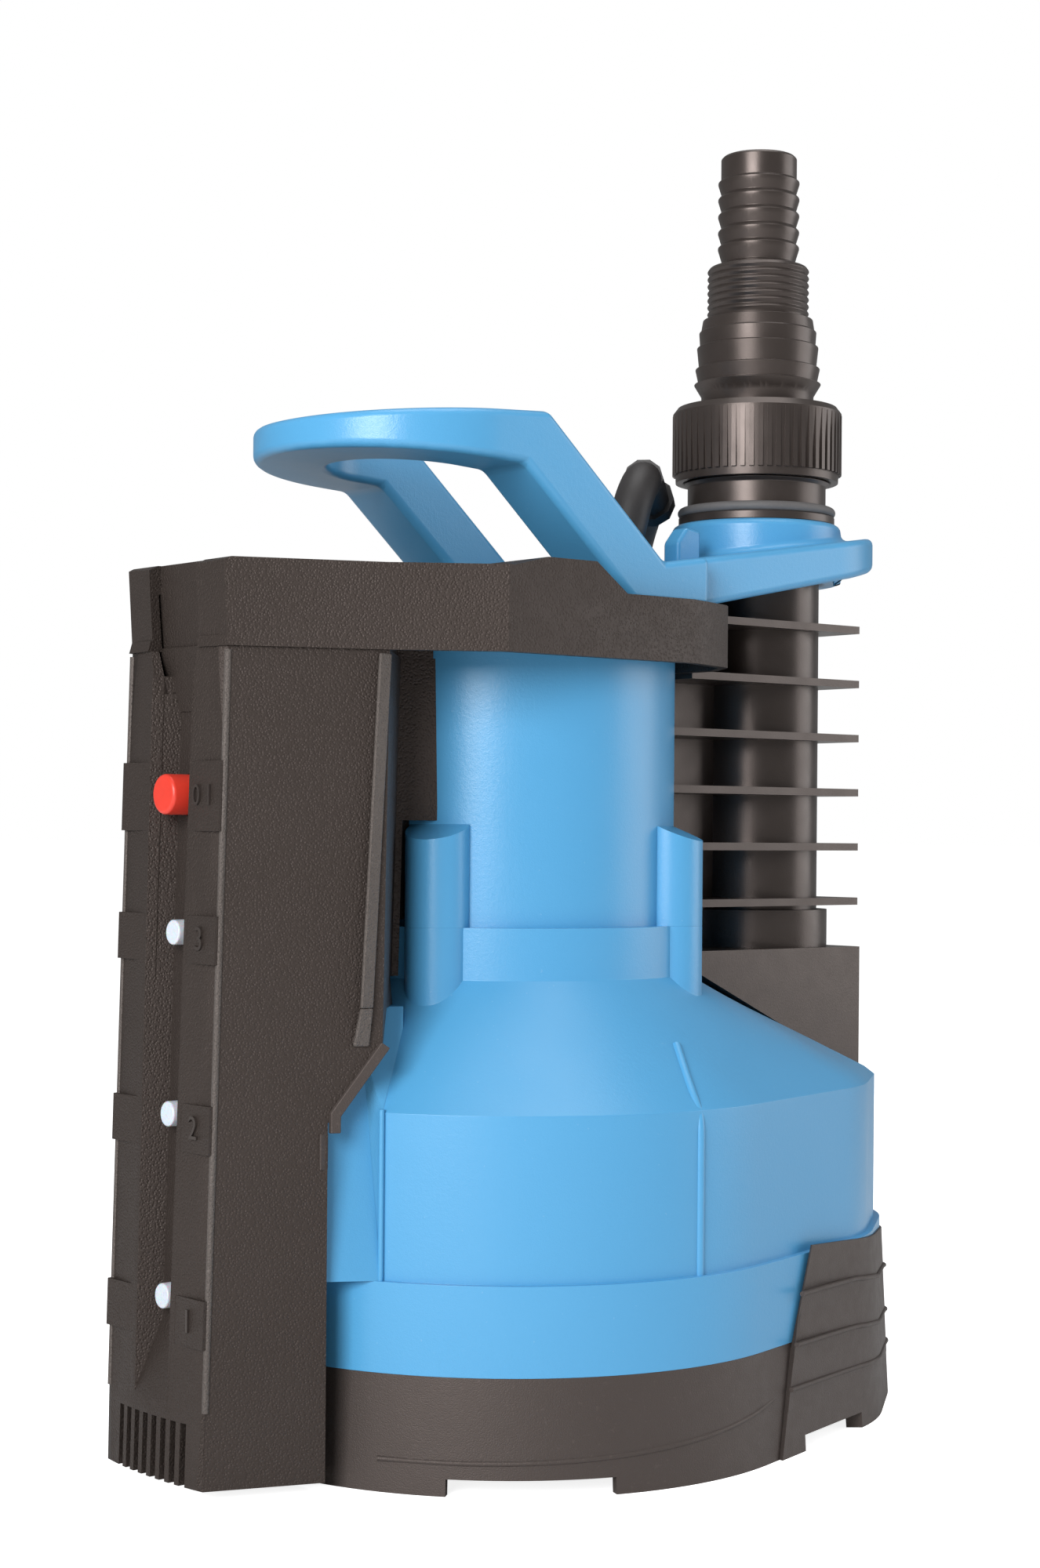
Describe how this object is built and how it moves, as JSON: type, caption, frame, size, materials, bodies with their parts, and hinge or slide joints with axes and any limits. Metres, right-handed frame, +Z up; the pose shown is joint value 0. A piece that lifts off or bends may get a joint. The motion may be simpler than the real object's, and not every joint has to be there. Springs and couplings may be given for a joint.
{
  "type": "submersible pump",
  "caption": "Submersible clear-water pump with strainer base, motor housing, level-sensor tower, carrying handle, finned pressure pipe and stepped hose adapter.",
  "frame": {"origin": "centre of the machine's footprint, on the ground", "axes": "+Z up along the motor shaft, +X from the sensor tower to the pressure pipe"},
  "size_m": [0.2758, 0.3366, 0.4028],
  "materials": {
    "black_grained": "grained matt moulded plastic",
    "black_smooth": "satin moulded plastic",
    "blue_plastic": "fine satin moulded plastic",
    "grey_rubber": "matt rubber",
    "black_rubber": "matt rubber",
    "red_plastic": "satin",
    "white_plastic": "translucent satin",
    "steel": "turned stainless steel",
    "lamination": "stacked sheet steel",
    "copper": "enamelled copper wire",
    "nickel": "nickel plated",
    "circuit": "solder mask",
    "inner_plastic": "glass-filled moulded plastic"
  },
  "bodies": {
    "root": {"strainer_base": "black_grained", "suction_plate": "inner_plastic", "volute": "inner_plastic", "pump_casing": "blue_plastic", "bearing_bracket": "inner_plastic", "shaft_seal": "black_rubber", "bearing_outer_rings": "steel", "bearing_balls": "steel", "stator_core": "lamination", "stator_windings": "copper", "housing_o_ring": "black_rubber", "motor_housing": "blue_plastic", "housing_screws": "steel", "base_screws": "steel", "sensor_tower": "black_grained", "sensor_pegs": "white_plastic", "control_board": "circuit", "selector_switch": "black_smooth", "button_spring": "steel", "run_capacitor": "nickel", "top_cap": "black_grained", "handle": "blue_plastic", "handle_screws": "steel", "pressure_pipe": "black_smooth", "threaded_outlet": "black_smooth", "outlet_o_ring": "grey_rubber", "adapter_gasket": "black_rubber", "hose_adapter": "black_smooth", "cable_boot": "black_rubber", "mains_lead": "black_rubber", "lead_coil": "black_rubber", "plug_body": "black_rubber", "plug_pins": "nickel"},
    "rotor": {"shaft": "steel", "rotor_core": "lamination", "impeller": "inner_plastic", "impeller_nut": "steel", "bearing_inner_rings": "steel"},
    "nut": {"union_nut": "black_smooth"},
    "button": {"selector_button": "red_plastic"}
  },
  "joints": [
    {"name": "rotor_spin", "type": "hinge", "parent": "root", "child": "rotor", "pos_m": [-0.01235, 0, 0.15], "axis": [0, 0, 1], "continuous": true},
    {"name": "nut_spin", "type": "hinge", "parent": "root", "child": "nut", "pos_m": [0.09165, 0, 0.308], "axis": [0, 0, 1], "continuous": true},
    {"name": "button_push", "type": "slide", "parent": "root", "child": "button", "axis": [1, 0, 0], "range_m": [0, 0.003], "stiffness_N_per_m": 400, "springref_m": -0.002, "deforming": ["button_spring"]}
  ]
}
